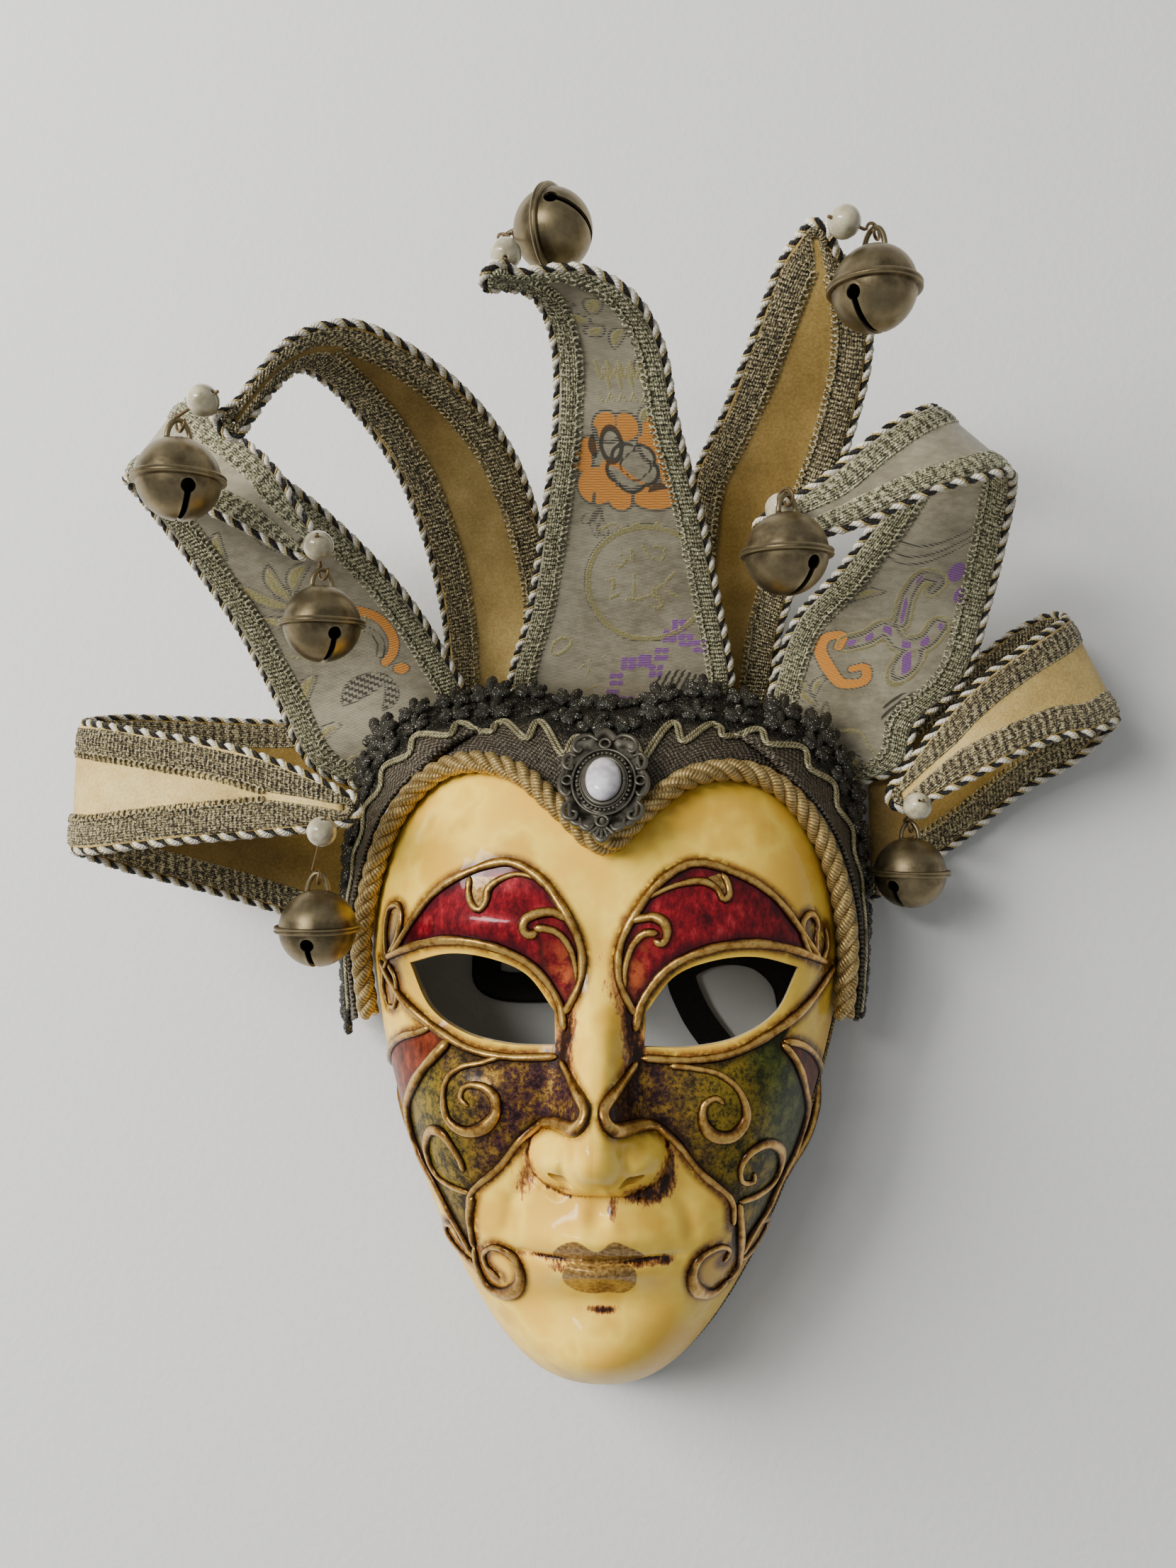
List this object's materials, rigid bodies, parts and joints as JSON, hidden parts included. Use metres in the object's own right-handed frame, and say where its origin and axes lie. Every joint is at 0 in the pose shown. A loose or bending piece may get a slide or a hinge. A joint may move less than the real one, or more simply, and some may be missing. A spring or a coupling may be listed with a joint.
{
  "type": "harlequin mask",
  "caption": "Full-face carnival mask in aged ivory with painted eye fields, a heart-shaped rope edge, a lace band and cloth-covered rays that end in bells.",
  "frame": {"origin": "middle of the whole part's footprint, in the plane that the rim lies on", "axes": "+Z out of the face, +Y to the top of the head, +X to the viewer's right"},
  "size_m": [0.3676, 0.3892, 0.1357],
  "materials": {
    "ivory_composition": "aged ivory varnish with gold lines and painted fields",
    "gold_rope": "twisted metallic cord",
    "dark_lace": "dark metallic lace",
    "silver_cord": "silver and gold soutache",
    "rim_braid": "dark gold braid",
    "pewter": "antiqued filigree",
    "stone": "polished white oval",
    "black_ribbon": "satin ribbon",
    "velvet": "old gold velvet",
    "brocade": "silver grey brocade",
    "edge_braid": "black and cream braid",
    "edge_cord": "black and cream twist",
    "antique_brass": "antique patina",
    "pearl": "pearl lustre",
    "bronze_wire": "dark wire"
  },
  "bodies": {
    "root": {"face_shell": "ivory_composition", "heart_rope": "gold_rope", "lace_band": "dark_lace", "wavy_cord": "silver_cord", "jaw_rim_braid": "rim_braid", "brooch_frame": "pewter", "brooch_cabochon": "stone", "tie_ribbon_left": "black_ribbon", "tie_ribbon_right": "black_ribbon", "centre_ray": "brocade", "centre_braid": "edge_braid", "centre_cord": "edge_cord", "centre_bell": "antique_brass", "centre_pearl": "pearl", "centre_link": "bronze_wire", "upper_left_ray": "velvet", "upper_left_braid": "edge_braid", "upper_left_cord": "edge_cord", "upper_left_bell": "antique_brass", "upper_left_pearl": "pearl", "upper_left_link": "bronze_wire", "upper_right_ray": "velvet", "upper_right_braid": "edge_braid", "upper_right_cord": "edge_cord", "upper_right_bell": "antique_brass", "upper_right_pearl": "pearl", "upper_right_link": "bronze_wire", "side_left_ray": "brocade", "side_left_braid": "edge_braid", "side_left_cord": "edge_cord", "side_left_bell": "antique_brass", "side_left_pearl": "pearl", "side_left_link": "bronze_wire", "side_right_ray": "brocade", "side_right_braid": "edge_braid", "side_right_cord": "edge_cord", "side_right_bell": "antique_brass", "side_right_pearl": "pearl", "side_right_link": "bronze_wire", "low_left_ray": "velvet", "low_left_braid": "edge_braid", "low_left_cord": "edge_cord", "low_left_bell": "antique_brass", "low_left_pearl": "pearl", "low_left_link": "bronze_wire", "low_right_ray": "velvet", "low_right_braid": "edge_braid", "low_right_cord": "edge_cord", "low_right_bell": "antique_brass", "low_right_pearl": "pearl", "low_right_link": "bronze_wire"}
  },
  "joints": []
}
